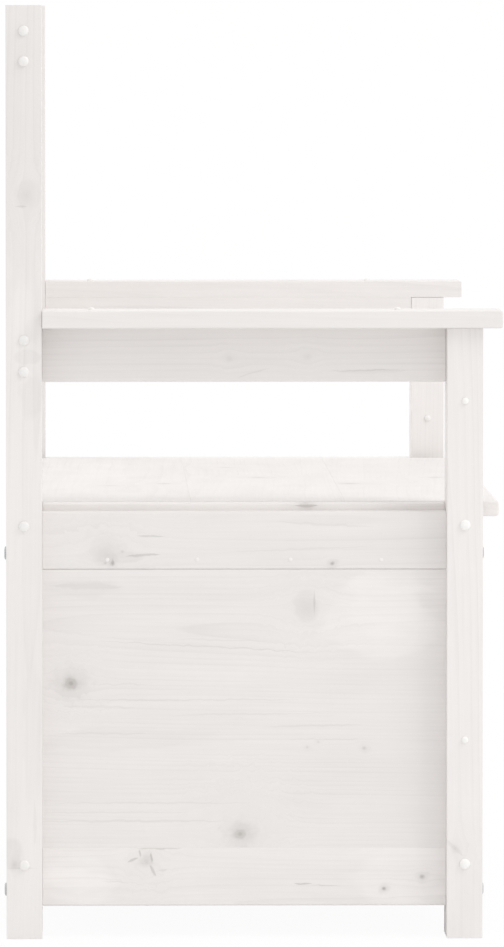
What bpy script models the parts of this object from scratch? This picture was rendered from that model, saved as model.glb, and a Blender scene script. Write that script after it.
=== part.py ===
"""Two-seat storage bench in white painted pine, with a back of upright slats and a lid for a seat.

Metres, +Z up. The front faces -Y and the bench stands on Z = 0, centred on the origin.
"""

import math

import bmesh
import bpy
from mathutils import Matrix, Vector

MM = 0.001

# Clearance between pieces that touch
FIT = 0.3 * MM

# Posts, front legs and the space between them
FRAME_WIDTH = 1105 * MM
FRAME_DEPTH = 492.5 * MM
POST_HEIGHT = 965 * MM
POST_WIDTH = 70 * MM
POST_DEPTH = 37 * MM
LEG_DEPTH = 37 * MM
POST_EDGE = 0.5 * MM

# Armrests
ARM_HEIGHT = 650 * MM
ARM_THICKNESS = 18 * MM
ARM_SIDE_OVERHANG = 10 * MM
ARM_FRONT_OVERHANG = 20.3 * MM
ARM_EDGE = 2.5 * MM
ARM_SIDE_EDGE = 1.3 * MM
ARM_BUTT_EDGE = 0.7 * MM
APRON_HEIGHT = 56.5 * MM
APRON_THICKNESS = 37 * MM

# Rails of the storage box and of the back
RAIL_THICKNESS = 22 * MM
RAIL_HEIGHT = 60 * MM
BACK_RAIL_HEIGHT = 60 * MM
RAIL_EDGE = 1.6 * MM
TIGHT_EDGE = 0.3 * MM
FLOOR_CLEARANCE = 32 * MM
TOP_RAIL_DROP = 13 * MM

# Panels of the storage box, held in grooves of the rails
PANEL_THICKNESS = 14 * MM
PANEL_RECESS = 0.4 * MM
PANEL_EDGE = 0.8 * MM
TONGUE_THICKNESS = 7 * MM
TONGUE_HEIGHT = 10 * MM

# Slats of the back, with a tenon at each end
SLAT_COUNT = 9
SLAT_WIDTH = 58 * MM
SLAT_THICKNESS = 12 * MM
SLAT_EDGE = 1.5 * MM
TENON_LENGTH = 14 * MM
TENON_SHOULDER = 4 * MM

# Seat: a lid of boards between fixed strips
SEAT_HEIGHT = 449 * MM
LID_THICKNESS = 16 * MM
LID_BOARDS = 3
LID_BOARD_GAP = 0.3 * MM
LID_END_GAP = 13 * MM
LID_JOINT_EDGE = 0.3 * MM
LID_END_EDGE = 1.5 * MM
NOSING_EDGE = 3.5 * MM
CLEAT_COUNT = 3
CLEAT_WIDTH = 45 * MM
CLEAT_HEIGHT = 18 * MM
CLEAT_END_GAP = 8 * MM
SIDE_RAIL_DROP = 7.5 * MM
SIDE_STRIP_DROP = 0.5 * MM
SIDE_STRIP_THICKNESS = 15 * MM
SIDE_STRIP_GAP = 4 * MM
SEAT_JOINT = 2.6 * MM
LID_STANDOFF = 0.2 * MM
STRIP_EDGE = 1.2 * MM

# Floor of the storage box, on two battens
FLOOR_BOARDS = 4
FLOOR_BOARD_GAP = 1 * MM
FLOOR_THICKNESS = 12 * MM
FLOOR_HEIGHT = 72 * MM
BATTEN_SIZE = 18 * MM
BATTEN_EDGE = 1 * MM

# Butt hinges, let into the joint behind the lid
HINGE_LENGTH = 64 * MM
HINGE_INSET = 150 * MM
KNUCKLES = 5
BARREL_RADIUS = 3.4 * MM
BARREL_RISE = 1 * MM
BARREL_CLEARANCE = 0.4 * MM
PIN_RADIUS = 1.6 * MM
PIN_HEAD_RADIUS = 2.6 * MM
PIN_HEAD_HEIGHT = 0.9 * MM
LEAF_THICKNESS = 1.6 * MM
LEAF_LIFT = 1 * MM
NECK_OVERLAP = 1 * MM
LEAF_SCREWS = 3
SCREW_HOLE_RADIUS = 1.8 * MM

# Bolts through posts and legs into the ends of the side rails
BOLT_RADIUS = 4 * MM
BOLT_GRIP = 75 * MM
BOLT_HEAD_RADIUS = 6.8 * MM
BOLT_HEAD_HEIGHT = 2.2 * MM
BOLT_HEAD_CROWN = 0.9 * MM
BOLT_CROWN_RADIUS = 4.9 * MM
BOLT_TIP = 1 * MM
BOLT_STAGGER = 13.5 * MM
SOCKET_RADIUS = 2.9 * MM
SOCKET_DEPTH = 1.3 * MM
SOCKET_SIDES = 6

ROUND_STEPS = 16
EDGE_SEGMENTS = 2
WELD_DISTANCE = 0.003 * MM
CUT_OVERRUN = 2 * MM

# Heights that follow from the sizes above
arm_underside = ARM_HEIGHT - ARM_THICKNESS
lid_underside = SEAT_HEIGHT - LID_THICKNESS
bottom_rail_top = FLOOR_CLEARANCE + RAIL_HEIGHT
side_rail_top = SEAT_HEIGHT - SIDE_RAIL_DROP
long_rail_top = lid_underside - FIT
back_rail_top = POST_HEIGHT - TOP_RAIL_DROP
low_back_rail_top = arm_underside
side_strip_top = SEAT_HEIGHT - SIDE_STRIP_DROP
hinge_axis_height = SEAT_HEIGHT + BARREL_RISE

# Widths, as distances from the centre plane
outer_x = FRAME_WIDTH / 2
inner_x = outer_x - POST_WIDTH
lid_end_x = inner_x - LID_END_GAP
side_rail_x = outer_x - POST_WIDTH / 2 + RAIL_THICKNESS / 2
side_rail_inner_x = side_rail_x - RAIL_THICKNESS

# Depths, as distances in front of the posts' rear faces
leg_back = FRAME_DEPTH - LEG_DEPTH
seat_front = FRAME_DEPTH + ARM_FRONT_OVERHANG
rear_rail_back = (POST_DEPTH - RAIL_THICKNESS) / 2
front_rail_back = FRAME_DEPTH - (LEG_DEPTH + RAIL_THICKNESS) / 2
front_rail_front = front_rail_back + RAIL_THICKNESS
rear_rail_front = rear_rail_back + RAIL_THICKNESS
hinge_axis_depth = rear_rail_front + LID_STANDOFF
strip_front = hinge_axis_depth - SEAT_JOINT / 2
lid_back = strip_front + SEAT_JOINT

# The whole depth runs from the rear bolt heads to the front of the armrests
overall_depth = BOLT_HEAD_HEIGHT + FRAME_DEPTH + ARM_FRONT_OVERHANG
rear_face_y = overall_depth / 2 - BOLT_HEAD_HEIGHT

PAINT = ((0.86, 0.84, 0.82), 0.45, 0.0)
ZINC = ((0.55, 0.56, 0.58), 0.35, 1.0)


def at_depth(depth):
    """Y of a point at this distance in front of the posts' rear faces."""
    return rear_face_y - depth


def depth_span(back, front):
    """Low and high Y of a piece between two depths."""
    return at_depth(front), at_depth(back)


def clear_scene():
    for old in list(bpy.data.objects):
        bpy.data.objects.remove(old)


def make_material(name, finish):
    colour, roughness, metallic = finish
    material = bpy.data.materials.new(name)
    material.use_nodes = True
    shader = material.node_tree.nodes["Principled BSDF"]
    shader.inputs["Base Color"].default_value = (*colour, 1.0)
    shader.inputs["Roughness"].default_value = roughness
    shader.inputs["Metallic"].default_value = metallic
    material.diffuse_color = (*colour, 1.0)
    return material


def make_object(name, bm, finish, parent=None):
    """Turn a mesh drawn in world coordinates into an object whose origin is at its middle."""
    bmesh.ops.recalc_face_normals(bm, faces=bm.faces)
    corners = [vert.co for vert in bm.verts]
    low = Vector([min(co[axis] for co in corners) for axis in range(3)])
    high = Vector([max(co[axis] for co in corners) for axis in range(3)])
    middle = (low + high) / 2
    bmesh.ops.translate(bm, verts=bm.verts, vec=-middle)
    mesh = bpy.data.meshes.new(name)
    bm.to_mesh(mesh)
    bm.free()
    piece = bpy.data.objects.new(name, mesh)
    bpy.context.scene.collection.objects.link(piece)
    piece.location = middle
    if parent:
        piece.parent = parent
        piece.location = middle - parent.location
    if finish:
        mesh.materials.append(make_material(name, finish))
    return piece


def add_box(bm, x, y, z):
    """Add a box between low and high values on each axis."""
    size = Vector((x[1] - x[0], y[1] - y[0], z[1] - z[0]))
    middle = Vector((sum(x), sum(y), sum(z))) / 2
    matrix = Matrix.Translation(middle) @ Matrix.Diagonal((*size, 1))
    return bmesh.ops.create_cube(bm, size=1, matrix=matrix)["verts"]


def add_rod(bm, radius, start, end, steps=ROUND_STEPS):
    """Add a round rod between two points."""
    run = end - start
    turn = Vector((0, 0, 1)).rotation_difference(run).to_matrix().to_4x4()
    bmesh.ops.create_cone(
        bm,
        cap_ends=True,
        segments=steps,
        radius1=radius,
        radius2=radius,
        depth=run.length,
        matrix=Matrix.Translation((start + end) / 2) @ turn,
    )


def board(name, x, y, z, edge, parent=None, own_edges=None):
    """A sawn board with eased edges.

    own_edges gives a side its own edge radius, keyed by the side's outward normal. An edge
    takes the smaller radius of the two sides that it joins.
    """
    bm = bmesh.new()
    add_box(bm, x, y, z)
    bm.normal_update()
    radii = {}
    for side in bm.faces:
        normal = tuple(round(value) for value in side.normal)
        radii[side] = (own_edges or {}).get(normal, edge)
    widest = max(min(radii[side] for side in line.link_faces) for line in bm.edges)
    weights = bm.edges.layers.float.new("bevel_weight_edge")
    for line in bm.edges:
        line[weights] = min(radii[side] for side in line.link_faces) / widest
    piece = make_object(name, bm, PAINT, parent)
    ease = piece.modifiers.new("eased_edges", "BEVEL")
    ease.limit_method = "WEIGHT"
    ease.width = widest
    ease.segments = EDGE_SEGMENTS
    return piece


def rounded(outline, edge):
    """Round the outer corners of an outline that runs anticlockwise.

    A corner's third value is a radius of its own.
    """
    corners = [Vector(corner[:2]) for corner in outline]
    points = []
    for index, corner in enumerate(corners):
        after = corners[(index + 1) % len(corners)]
        inward, outward = corner - corners[index - 1], after - corner
        if inward.cross(outward) <= 0:
            points.append(corner)
            continue
        radius = outline[index][2] if len(outline[index]) > 2 else edge
        centre = corner + (outward.normalized() - inward.normalized()) * radius
        start = Vector((inward.y, -inward.x)).normalized() * radius
        for step in range(EDGE_SEGMENTS + 1):
            angle = math.pi / 2 * step / EDGE_SEGMENTS
            points.append(centre + Matrix.Rotation(angle, 2) @ start)
    return points


def bar(name, outline, place, span, parent=None):
    """A moulded bar: an outline in across and up, run along a span.

    place turns across, along and up into a point of the bench.
    """
    bm = bmesh.new()
    first = [bm.verts.new(place(point.x, span[0], point.y)) for point in outline]
    end = bm.faces.new(first)
    grown = bmesh.ops.extrude_face_region(bm, geom=[end])["geom"]
    moved = [item for item in grown if isinstance(item, bmesh.types.BMVert)]
    shift = place(0, span[1], 0) - place(0, span[0], 0)
    bmesh.ops.translate(bm, verts=moved, vec=shift)
    return make_object(name, bm, PAINT, parent)


def combine(piece, bm, name, operation="DIFFERENCE"):
    """Take a shape out of a piece, or fuse it with the piece."""
    other = make_object(name, bm, None, piece.parent)
    other.hide_render = True
    other.display_type = "WIRE"
    change = piece.modifiers.new(name, "BOOLEAN")
    change.operation = operation
    change.solver = "EXACT"
    change.object = other


# The four walls of the box, each with its outer face at across = 0


def left_wall(across, along, up):
    return Vector((across - side_rail_x, along, up))


def right_wall(across, along, up):
    return Vector((side_rail_x - across, along, up))


def front_wall(across, along, up):
    return Vector((along, at_depth(front_rail_front - across), up))


def rear_wall(across, along, up):
    return Vector((along, at_depth(rear_rail_back + across), up))


def groove_span():
    """Low and high distance of the grooves from the rails' outer faces."""
    back = PANEL_RECESS + PANEL_THICKNESS
    return back - TONGUE_THICKNESS - FIT, back + FIT


def top_rail_outline(low, high):
    near, far = groove_span()
    depth = low + TONGUE_HEIGHT + FIT
    lower_edge = [(0, low), (near, low), (near, depth), (far, depth), (far, low)]
    return rounded(lower_edge + [(RAIL_THICKNESS, low), (RAIL_THICKNESS, high), (0, high)], RAIL_EDGE)


def bottom_rail_outline(low, high):
    near, far = groove_span()
    depth = high - TONGUE_HEIGHT - FIT
    upper_edge = [(far, high), (far, depth), (near, depth), (near, high)]
    lower_edge = [(0, low), (RAIL_THICKNESS, low), (RAIL_THICKNESS, high)]
    return rounded(lower_edge + upper_edge + [(0, high, TIGHT_EDGE)], RAIL_EDGE)


def panel_outline(low, high):
    """A panel between two rails, with a tongue up and a tongue down along its inner face."""
    outer, inner = PANEL_RECESS, PANEL_RECESS + PANEL_THICKNESS
    tongue = inner - TONGUE_THICKNESS
    low, high = low + FIT, high - FIT
    outline = [
        (outer, low, TIGHT_EDGE),
        (tongue, low),
        (tongue, low - TONGUE_HEIGHT),
        (inner, low - TONGUE_HEIGHT),
        (inner, high + TONGUE_HEIGHT),
        (tongue, high + TONGUE_HEIGHT),
        (tongue, high),
        (outer, high),
    ]
    return rounded(outline, PANEL_EDGE)


def box_wall(side, place, span, top_rail_top):
    """One wall of the storage box: two rails with a panel between them."""
    top_rail_bottom = top_rail_top - RAIL_HEIGHT
    rails = [
        bar(f"{side}_top_rail", top_rail_outline(top_rail_bottom, top_rail_top), place, span),
        bar(f"{side}_bottom_rail", bottom_rail_outline(FLOOR_CLEARANCE, bottom_rail_top), place, span),
    ]
    bar(f"{side}_panel", panel_outline(bottom_rail_top, top_rail_bottom), place, span)
    return rails


def side_span():
    return at_depth(leg_back - FIT), at_depth(POST_DEPTH + FIT)


def long_span():
    return FIT - inner_x, inner_x - FIT


def bolt_heights():
    """Heights of the bolts that run front to back, below the middles of the side rails."""
    return {
        "upper": side_rail_top - RAIL_HEIGHT / 2 - BOLT_STAGGER,
        "lower": FLOOR_CLEARANCE + RAIL_HEIGHT / 2 - BOLT_STAGGER,
    }


def bolt_x(side):
    return side * (outer_x - POST_WIDTH / 2)


def bolt_hole(side, height, back, front):
    """A cutter for a bolt's clearance hole between two depths."""
    bm = bmesh.new()
    start = Vector((bolt_x(side), at_depth(back), height))
    end = Vector((bolt_x(side), at_depth(front), height))
    add_rod(bm, BOLT_RADIUS + FIT, start, end)
    return bm


def build_posts_and_legs():
    leg_top = arm_underside - FIT
    for label, side in (("left", -1), ("right", 1)):
        x = sorted((side * inner_x, side * outer_x))
        post = board(f"{label}_post", x, depth_span(0, POST_DEPTH), (0, POST_HEIGHT), POST_EDGE)
        leg = board(f"{label}_leg", x, depth_span(leg_back, FRAME_DEPTH), (0, leg_top), POST_EDGE)
        for level, height in bolt_heights().items():
            for piece, back, front in ((post, 0, POST_DEPTH), (leg, leg_back, FRAME_DEPTH)):
                hole = bolt_hole(side, height, back - CUT_OVERRUN, front + CUT_OVERRUN)
                combine(piece, hole, f"{piece.name}_{level}_hole")


def build_armrests():
    for label, side in (("left", -1), ("right", 1)):
        x = sorted((side * inner_x, side * (outer_x + ARM_SIDE_OVERHANG)))
        y = depth_span(POST_DEPTH + FIT, seat_front)
        sides = {(0, 1, 0): ARM_BUTT_EDGE, (side, 0, 0): ARM_SIDE_EDGE, (-side, 0, 0): TIGHT_EDGE}
        board(f"{label}_armrest", x, y, (arm_underside, ARM_HEIGHT), ARM_EDGE, own_edges=sides)
        apron_top = arm_underside - FIT
        apron_x = sorted((side * inner_x, side * (inner_x + APRON_THICKNESS)))
        apron_z = (apron_top - APRON_HEIGHT, apron_top)
        seats = {(0, 1, 0): TIGHT_EDGE, (0, -1, 0): TIGHT_EDGE, (0, 0, 1): TIGHT_EDGE}
        board(f"{label}_arm_apron", apron_x, side_span(), apron_z, RAIL_EDGE, own_edges=seats)


def build_box():
    walls = (("left_side", left_wall, -1), ("right_side", right_wall, 1))
    grip_end = BOLT_GRIP + FIT
    for label, place, side in walls:
        rails = box_wall(label, place, side_span(), side_rail_top)
        for rail, (level, height) in zip(rails, bolt_heights().items()):
            rear_hole = bolt_hole(side, height, POST_DEPTH, grip_end)
            front_hole = bolt_hole(side, height, FRAME_DEPTH - grip_end, leg_back)
            combine(rail, rear_hole, f"{label}_{level}_rear_hole")
            combine(rail, front_hole, f"{label}_{level}_front_hole")
    box_wall("front", front_wall, long_span(), long_rail_top)
    box_wall("rear", rear_wall, long_span(), long_rail_top)


def build_floor():
    """Boards from front to back, whose ends rest on two battens."""
    z = (FLOOR_HEIGHT - FLOOR_THICKNESS - FIT - BATTEN_SIZE, FLOOR_HEIGHT - FLOOR_THICKNESS - FIT)
    rear = rear_rail_front + FIT
    front = front_rail_back - FIT
    board("rear_floor_batten", long_span(), depth_span(rear, rear + BATTEN_SIZE), z, BATTEN_EDGE)
    board("front_floor_batten", long_span(), depth_span(front - BATTEN_SIZE, front), z, BATTEN_EDGE)
    end_x = side_rail_inner_x - FIT
    width = (2 * end_x - (FLOOR_BOARDS - 1) * FLOOR_BOARD_GAP) / FLOOR_BOARDS
    z = (FLOOR_HEIGHT - FLOOR_THICKNESS, FLOOR_HEIGHT)
    for index in range(FLOOR_BOARDS):
        left = index * (width + FLOOR_BOARD_GAP) - end_x
        board(f"floor_board_{index + 1}", (left, left + width), side_span(), z, BATTEN_EDGE)


def slat_positions():
    """Middles of the slats, with equal gaps between them and to the posts."""
    gap = (2 * inner_x - SLAT_COUNT * SLAT_WIDTH) / (SLAT_COUNT + 1)
    first = gap + SLAT_WIDTH / 2 - inner_x
    return [first + index * (SLAT_WIDTH + gap) for index in range(SLAT_COUNT)]


def build_back():
    """Two rails between the posts, and slats whose tenons sit in mortises."""
    y = depth_span(rear_rail_back, rear_rail_front)
    middle = at_depth(POST_DEPTH / 2)
    upper_low = back_rail_top - BACK_RAIL_HEIGHT
    lower_low = low_back_rail_top - BACK_RAIL_HEIGHT
    upper = board("back_top_rail", long_span(), y, (upper_low, back_rail_top), RAIL_EDGE)
    lower = board("back_lower_rail", long_span(), y, (lower_low, low_back_rail_top), RAIL_EDGE)
    tenon_width = SLAT_WIDTH - 2 * TENON_SHOULDER
    mortise_y = (middle - SLAT_THICKNESS / 2 - FIT, middle + SLAT_THICKNESS / 2 + FIT)
    reach = TENON_LENGTH + FIT
    for rail, z, label in (
        (upper, (upper_low - FIT, upper_low + reach), "upper_mortises"),
        (lower, (low_back_rail_top - reach, low_back_rail_top + FIT), "lower_mortises"),
    ):
        bm = bmesh.new()
        for centre in slat_positions():
            half = tenon_width / 2 + FIT
            add_box(bm, (centre - half, centre + half), mortise_y, z)
        combine(rail, bm, label)
    build_slats(middle, low_back_rail_top + FIT, upper_low - FIT, tenon_width)


def ease_upright_edges(piece, radius):
    bm = bmesh.new()
    bm.from_mesh(piece.data)
    weights = bm.edges.layers.float.new("bevel_weight_edge")
    for line in bm.edges:
        run = line.verts[1].co - line.verts[0].co
        line[weights] = float(abs(run.z) > radius)
    bm.to_mesh(piece.data)
    bm.free()
    ease = piece.modifiers.new("eased_edges", "BEVEL")
    ease.limit_method = "WEIGHT"
    ease.width = radius
    ease.segments = 1


def back_plane(across, along, up):
    return Vector((across, along, up))


def build_slats(middle, low, high, tenon_width):
    """Each slat is a board with a narrower tongue at both ends."""
    half, tenon = SLAT_WIDTH / 2, tenon_width / 2
    tip = TENON_LENGTH
    outline = [
        (-tenon, low - tip),
        (tenon, low - tip),
        (tenon, low),
        (half, low),
        (half, high),
        (tenon, high),
        (tenon, high + tip),
        (-tenon, high + tip),
        (-tenon, high),
        (-half, high),
        (-half, low),
        (-tenon, low),
    ]
    span = (middle - SLAT_THICKNESS / 2, middle + SLAT_THICKNESS / 2)
    for index, centre in enumerate(slat_positions()):
        shifted = [Vector((centre + across, up)) for across, up in outline]
        slat = bar(f"back_slat_{index + 1}", shifted, back_plane, span)
        ease_upright_edges(slat, SLAT_EDGE)


def hinge_positions():
    return {"left": HINGE_INSET - lid_end_x, "right": lid_end_x - HINGE_INSET}


def hinge_point(x):
    return Vector((x, at_depth(hinge_axis_depth), hinge_axis_height))


def hinge_gain(centre):
    """A cutter for the recess that both leaves and the barrel lie in."""
    half_length = HINGE_LENGTH / 2 + FIT
    bm = bmesh.new()
    reach = LEAF_THICKNESS + FIT / 2 + FIT
    axis = hinge_point(centre)
    low = lid_underside + LEAF_LIFT - FIT
    y = (axis.y - reach, axis.y + reach)
    add_box(bm, (centre - half_length, centre + half_length), y, (low, SEAT_HEIGHT + FIT))
    return bm


def barrel_gain(centre):
    """A cutter that keeps the seat clear of the hinge barrel."""
    half = Vector((HINGE_LENGTH / 2 + PIN_HEAD_HEIGHT + 2 * FIT, 0, 0))
    bm = bmesh.new()
    axis = hinge_point(centre)
    add_rod(bm, BARREL_RADIUS + BARREL_CLEARANCE, axis - half, axis + half)
    return bm


def build_leaf(name, centre, side, own, parent=None):
    """One leaf of a butt hinge: a plate with its share of the barrel's knuckles.

    side is +1 for the leaf behind the axis and -1 for the leaf on the lid.
    """
    axis = hinge_point(centre)
    pitch = (HINGE_LENGTH + FIT) / KNUCKLES
    near, far = side * FIT / 2, side * (FIT / 2 + LEAF_THICKNESS)
    y = sorted((axis.y + near, axis.y + far))
    start = centre - HINGE_LENGTH / 2
    plate_top = hinge_axis_height - BARREL_RADIUS - BARREL_CLEARANCE
    bm = bmesh.new()
    add_box(bm, (start, start + HINGE_LENGTH), y, (lid_underside + LEAF_LIFT, plate_top))
    leaf = make_object(name, bm, ZINC, parent)
    for index in own:
        low = start + index * pitch
        high = low + pitch - FIT
        neck = bmesh.new()
        add_box(neck, (low, high), y, (plate_top - NECK_OVERLAP, hinge_axis_height))
        combine(leaf, neck, f"{name}_neck_{index + 1}", "UNION")
        knuckle = bmesh.new()
        add_rod(knuckle, BARREL_RADIUS, Vector((low, axis.y, axis.z)), Vector((high, axis.y, axis.z)))
        combine(leaf, knuckle, f"{name}_knuckle_{index + 1}", "UNION")
    over = Vector((HINGE_LENGTH, 0, 0))
    bore = bmesh.new()
    add_rod(bore, PIN_RADIUS + FIT, axis - over, axis + over)
    combine(leaf, bore, f"{name}_bore")
    holes = bmesh.new()
    screw_height = (lid_underside + LEAF_LIFT + plate_top) / 2
    for index in range(LEAF_SCREWS):
        x = start + (index + 0.5) * HINGE_LENGTH / LEAF_SCREWS
        back = Vector((x, y[1] + CUT_OVERRUN, screw_height))
        front = Vector((x, y[0] - CUT_OVERRUN, screw_height))
        add_rod(holes, SCREW_HOLE_RADIUS, back, front)
    combine(leaf, holes, f"{name}_screw_holes")


def turned(name, profile, tip, direction, finish):
    """A turned piece: a profile of radius and distance, spun about a line through tip."""
    bm = bmesh.new()
    points = [bm.verts.new((radius, 0, distance)) for radius, distance in profile]
    lines = [bm.edges.new(pair) for pair in zip(points, points[1:])]
    bmesh.ops.spin(
        bm,
        geom=points + lines,
        cent=(0, 0, 0),
        axis=(0, 0, 1),
        angle=2 * math.pi,
        steps=ROUND_STEPS,
        use_merge=True,
    )
    bmesh.ops.remove_doubles(bm, verts=bm.verts, dist=WELD_DISTANCE)
    turn = Vector((0, 0, 1)).rotation_difference(direction).to_matrix().to_4x4()
    bmesh.ops.transform(bm, matrix=Matrix.Translation(tip) @ turn, verts=bm.verts)
    return make_object(name, bm, finish)


def build_hinge_pin(name, centre):
    """A pin with a small flat head at both ends of the barrel."""
    half = HINGE_LENGTH / 2 + FIT
    outer = half + PIN_HEAD_HEIGHT
    profile = [
        (0, -outer),
        (PIN_HEAD_RADIUS, -outer),
        (PIN_HEAD_RADIUS, -half),
        (PIN_RADIUS, -half),
        (PIN_RADIUS, half),
        (PIN_HEAD_RADIUS, half),
        (PIN_HEAD_RADIUS, outer),
        (0, outer),
    ]
    turned(name, profile, hinge_point(centre), Vector((1, 0, 0)), ZINC)


def build_hinges(rear_strip, rear_board, lid_axis):
    own_frame = range(0, KNUCKLES, 2)
    own_lid = range(1, KNUCKLES, 2)
    for label, centre in hinge_positions().items():
        build_leaf(f"{label}_hinge_frame_leaf", centre, 1, own_frame)
        build_leaf(f"{label}_hinge_lid_leaf", centre, -1, own_lid, lid_axis)
        build_hinge_pin(f"{label}_hinge_pin", centre)
        for piece, where in ((rear_strip, "strip"), (rear_board, "lid")):
            combine(piece, hinge_gain(centre), f"{label}_hinge_gain_{where}")
            combine(piece, barrel_gain(centre), f"{label}_barrel_gain_{where}")


def build_seat_strips():
    """Fixed strips behind and beside the lid."""
    z = (lid_underside, SEAT_HEIGHT)
    joint = {(0, -1, 0): LID_JOINT_EDGE}
    rear = board("rear_seat_strip", long_span(), depth_span(rear_rail_back, strip_front), z,
                 STRIP_EDGE, own_edges=joint)
    low = side_strip_top - SIDE_STRIP_THICKNESS
    strip_inner_x = lid_end_x + SIDE_STRIP_GAP
    y = side_span()
    for label, side in (("left", -1), ("right", 1)):
        x = sorted((side * strip_inner_x, side * (side_rail_inner_x - FIT)))
        board(f"{label}_seat_strip", x, y, (low, side_strip_top), STRIP_EDGE)
    return rear


def build_lid(lid_axis):
    """Boards along the seat, with cleats across their undersides."""
    width = (seat_front - lid_back - (LID_BOARDS - 1) * LID_BOARD_GAP) / LID_BOARDS
    x = (-lid_end_x, lid_end_x)
    z = (lid_underside, SEAT_HEIGHT)
    boards = []
    for index in range(LID_BOARDS):
        back = lid_back + index * (width + LID_BOARD_GAP)
        soft = {(1, 0, 0): LID_END_EDGE, (-1, 0, 0): LID_END_EDGE, (0, 1, 0): LID_JOINT_EDGE}
        if index < LID_BOARDS - 1:
            soft[(0, -1, 0)] = LID_JOINT_EDGE
        y = depth_span(back, back + width)
        boards.append(board(f"lid_board_{index + 1}", x, y, z, NOSING_EDGE, lid_axis, soft))
    cleat_y = depth_span(lid_back + CLEAT_END_GAP, front_rail_back - CLEAT_END_GAP)
    cleat_z = (lid_underside - FIT - CLEAT_HEIGHT, lid_underside - FIT)
    pitch = 2 * lid_end_x / CLEAT_COUNT
    for index in range(CLEAT_COUNT):
        centre = (index + 0.5) * pitch - lid_end_x
        cleat_x = (centre - CLEAT_WIDTH / 2, centre + CLEAT_WIDTH / 2)
        board(f"lid_cleat_{index + 1}", cleat_x, cleat_y, cleat_z, STRIP_EDGE, lid_axis)
    return boards[0]


def build_bolts():
    """Bolts with a low crowned head and a hexagon socket, two through each post and leg."""
    under, crown = FIT, BOLT_HEAD_HEIGHT - BOLT_HEAD_CROWN
    profile = [
        (0, -BOLT_GRIP),
        (BOLT_RADIUS - BOLT_TIP, -BOLT_GRIP),
        (BOLT_RADIUS, BOLT_TIP - BOLT_GRIP),
        (BOLT_RADIUS, under),
        (BOLT_HEAD_RADIUS, under),
        (BOLT_HEAD_RADIUS, crown),
        (BOLT_CROWN_RADIUS, BOLT_HEAD_HEIGHT),
        (0, BOLT_HEAD_HEIGHT),
    ]
    faces = (("rear", 0, Vector((0, 1, 0))), ("front", FRAME_DEPTH, Vector((0, -1, 0))))
    for label, side in (("left", -1), ("right", 1)):
        for end, depth, outward in faces:
            for level, height in bolt_heights().items():
                name = f"{label}_{end}_{level}_bolt"
                tip = Vector((bolt_x(side), at_depth(depth), height))
                bolt = turned(name, profile, tip, outward, ZINC)
                socket = bmesh.new()
                crown_point = tip + outward * (BOLT_HEAD_HEIGHT + FIT)
                floor_point = tip + outward * (BOLT_HEAD_HEIGHT - SOCKET_DEPTH)
                add_rod(socket, SOCKET_RADIUS, floor_point, crown_point, steps=SOCKET_SIDES)
                combine(bolt, socket, f"{name}_socket")


def build():
    clear_scene()
    lid_axis = bpy.data.objects.new("lid_hinge_axis", None)
    bpy.context.scene.collection.objects.link(lid_axis)
    lid_axis.location = hinge_point(0)
    build_posts_and_legs()
    build_armrests()
    build_box()
    build_floor()
    build_back()
    rear_strip = build_seat_strips()
    rear_board = build_lid(lid_axis)
    build_hinges(rear_strip, rear_board, lid_axis)
    build_bolts()


build()
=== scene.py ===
"""Looks of a two-seat storage bench in thin white paint on pine, around its packed joinery."""

import math
import random

import bpy
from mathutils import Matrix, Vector


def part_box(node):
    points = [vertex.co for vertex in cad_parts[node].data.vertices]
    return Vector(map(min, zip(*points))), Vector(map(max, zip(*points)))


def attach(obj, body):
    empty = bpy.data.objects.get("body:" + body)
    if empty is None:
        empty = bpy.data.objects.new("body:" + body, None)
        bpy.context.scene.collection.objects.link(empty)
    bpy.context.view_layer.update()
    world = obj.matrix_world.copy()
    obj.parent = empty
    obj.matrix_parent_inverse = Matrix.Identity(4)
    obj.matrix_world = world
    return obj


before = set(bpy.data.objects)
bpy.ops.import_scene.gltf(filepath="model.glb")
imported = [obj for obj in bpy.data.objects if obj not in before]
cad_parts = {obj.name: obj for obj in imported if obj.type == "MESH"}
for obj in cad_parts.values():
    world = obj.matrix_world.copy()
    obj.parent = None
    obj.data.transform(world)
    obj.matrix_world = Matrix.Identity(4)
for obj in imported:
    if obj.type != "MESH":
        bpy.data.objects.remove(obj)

MM = 0.001
SMOOTH_ANGLE = math.radians(40)

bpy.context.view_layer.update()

# Colours, as linear light
PAINT_WHITE = (0.865, 0.836, 0.818)
BARE_KNOT = (0.36, 0.335, 0.31)
CAP_WHITE = (0.915, 0.895, 0.875)
# Painted light: the leg caps' brighter white is a painted highlight for the stronger light on the leg
LEG_CAP_PAINTED_LIGHT = (0.975, 0.96, 0.94)
ZINC_GREY = (0.58, 0.585, 0.595)
SCREW_ZINC = (0.6, 0.6, 0.59)
FLOOR_WHITE = (0.93, 0.93, 0.93)

# Light: how bright the white studio is, and how much of the floor's own white the camera sees
STUDIO_LEVEL = 0.835
FLOOR_GLOW = 0.955
KEY_POWER = 82
BACK_POWER = 34

# Faces of the bench that everything else is measured from
rear_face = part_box("left_post")[1].y
outer_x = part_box("right_post")[1].x
inner_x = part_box("right_leg")[0].x
arm_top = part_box("left_armrest")[1].z
seat_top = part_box("lid_board_1")[1].z


def at_depth(depth):
    """Y of a point this many millimetres in front of the posts' rear faces."""
    return rear_face - depth * MM


# Small tools for wiring shader nodes


def feed(tree, value, target):
    """Link another node's output into an input, or set the input to a number or a vector."""
    if isinstance(value, bpy.types.NodeSocket):
        tree.links.new(value, target)
    else:
        target.default_value = value


def calc(tree, operation, first, second=None, third=None):
    node = tree.nodes.new("ShaderNodeMath")
    node.operation = operation
    for value, target in zip((first, second, third), node.inputs):
        if value is not None:
            feed(tree, value, target)
    return node.outputs[0]


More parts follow.
